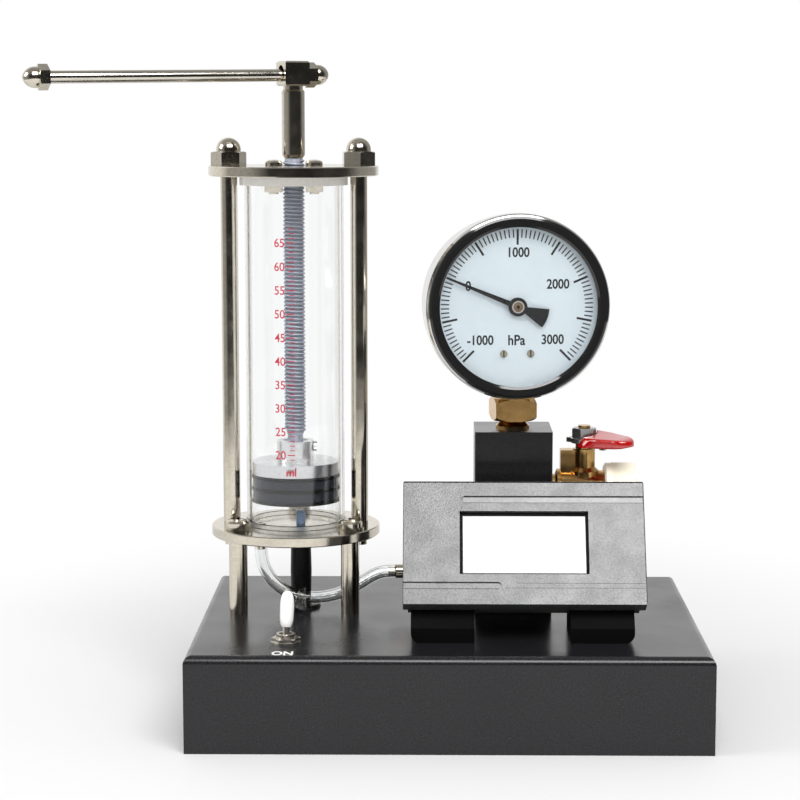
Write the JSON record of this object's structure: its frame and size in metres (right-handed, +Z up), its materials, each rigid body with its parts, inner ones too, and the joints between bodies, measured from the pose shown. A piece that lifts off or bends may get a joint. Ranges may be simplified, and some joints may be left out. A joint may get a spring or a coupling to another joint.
{
  "type": "boyles law apparatus",
  "caption": "Bench apparatus for the gas laws: a screw drives a piston down a clear cylinder joined by a hose to a pressure gauge, vent valve and display.",
  "frame": {"origin": "centre of the underside of the base box, on the surface it stands on", "axes": "+X to the right and +Y to the rear as seen by someone who faces the gauge, +Z up along the piston"},
  "size_m": [0.2105, 0.12, 0.2083],
  "materials": {
    "aluminium": "turned",
    "black_anodised": "satin black anodised",
    "black_plastic": "moulded, fine texture",
    "black_rubber": "moulded",
    "black_steel": "satin black powder coat",
    "brass": "machined",
    "bright_steel": "pressed",
    "cell": "sleeved cell",
    "clear_acrylic": "clear, polished",
    "clear_hose": "clear soft tube",
    "clear_tie": "translucent nylon",
    "dial_white": "satin white enamel",
    "display_shell": "textured moulding",
    "gauge_chrome": "bright chrome plate",
    "gauge_glass": "clear",
    "lcd": "pale, switched off",
    "nickel": "bright nickel plate",
    "nylon": "natural nylon",
    "pale_brass": "machined and plated",
    "pointer_black": "satin black",
    "probe_blue": "blue coated",
    "ptfe": "smooth",
    "red_vinyl": "dipped",
    "screw_steel": "cut thread, oiled",
    "white_plastic": "glossy",
    "zinc_steel": "bright zinc"
  },
  "bodies": {
    "root": {"base_case": "black_steel", "base_floor": "black_steel", "base_screws": "zinc_steel", "battery_holder": "black_plastic", "battery_cells": "cell", "switch_body": "bright_steel", "switch_nut": "nickel", "leg_posts": "nickel", "leg_screws": "nickel", "lower_plate": "nickel", "upper_plate": "nickel", "tie_rods": "nickel", "acorn_nuts": "nickel", "lower_gasket": "clear_tie", "cylinder_tube": "clear_acrylic", "guide_disc": "nylon", "guide_screws": "nickel", "temperature_probe": "probe_blue", "probe_sleeve": "black_rubber", "sleeve_grommet": "black_rubber", "hose_nozzle": "nickel", "hose": "clear_hose", "hose_tie": "clear_tie", "block_barb": "nickel", "manifold_block": "black_anodised", "gauge_socket": "brass", "gauge_case": "gauge_chrome", "gauge_bezel": "gauge_chrome", "gauge_window": "gauge_glass", "gauge_dial": "dial_white", "dial_screws": "brass", "bourdon_tube": "brass", "movement_frame": "brass", "movement_link": "brass", "valve_body": "brass", "valve_outlet": "pale_brass", "valve_seats": "ptfe", "display_front": "display_shell", "display_back": "display_shell", "display_module": "lcd", "display_foot_left": "black_plastic", "display_foot_right": "black_plastic"},
    "piston": {"piston_crown": "aluminium", "piston_skirt": "black_plastic", "piston_rings": "black_rubber", "boss_screw": "zinc_steel"},
    "screw": {"lead_screw": "screw_steel", "screw_head": "nickel"},
    "bar": {"tommy_bar": "nickel", "bar_nuts": "nickel"},
    "pointer": {"pointer": "pointer_black", "pinion_arbor": "brass"},
    "sector": {"sector_gear": "brass"},
    "valve_handle": {"valve_ball": "nickel", "valve_stem": "brass", "valve_lever": "bright_steel", "lever_sleeve": "red_vinyl", "lever_nut": "bright_steel"},
    "toggle": {"toggle_lever": "nickel", "toggle_cap": "white_plastic"}
  },
  "joints": [
    {"name": "piston_slide", "type": "slide", "parent": "root", "child": "piston", "axis": [0, 0, 1], "range_m": [-0.0021, 0.0785]},
    {"name": "screw_spin", "type": "hinge", "parent": "piston", "child": "screw", "pos_m": [-0.05, 0.01, 0.084], "axis": [0, 0, 1], "range_deg": [-576, 22464]},
    {"name": "bar_slide", "type": "slide", "parent": "screw", "child": "bar", "axis": [0.9062, 0.4226, 0.014], "range_m": [0, 0.0764]},
    {"name": "pointer_turn", "type": "hinge", "parent": "root", "child": "pointer", "pos_m": [0.02273, -0.00128, 0.13], "axis": [-0.1478, 0.989, 0], "range_deg": [-67.5, 202.5], "stiffness_Nm_per_rad": 0.0001},
    {"name": "sector_swing", "type": "hinge", "parent": "root", "child": "sector", "pos_m": [0.02273, -0.00128, 0.1138], "axis": [-0.1478, 0.989, 0], "range_deg": [-25.4, 8.5]},
    {"name": "lever_turn", "type": "hinge", "parent": "root", "child": "valve_handle", "pos_m": [0.0445, 0.0096, 0.0849], "axis": [0, 0, 1], "range_deg": [-55, 35]},
    {"name": "toggle_flip", "type": "hinge", "parent": "root", "child": "toggle", "pos_m": [-0.0503, -0.04, 0.0304], "axis": [0.9848, -0.1736, 0], "range_deg": [0, 24]}
  ],
  "couplings": [
    {"joint": "piston_slide", "follows": "screw_spin", "m_per_rad": 0.00019894},
    {"joint": "sector_swing", "follows": "pointer_turn", "ratio": -0.125}
  ]
}
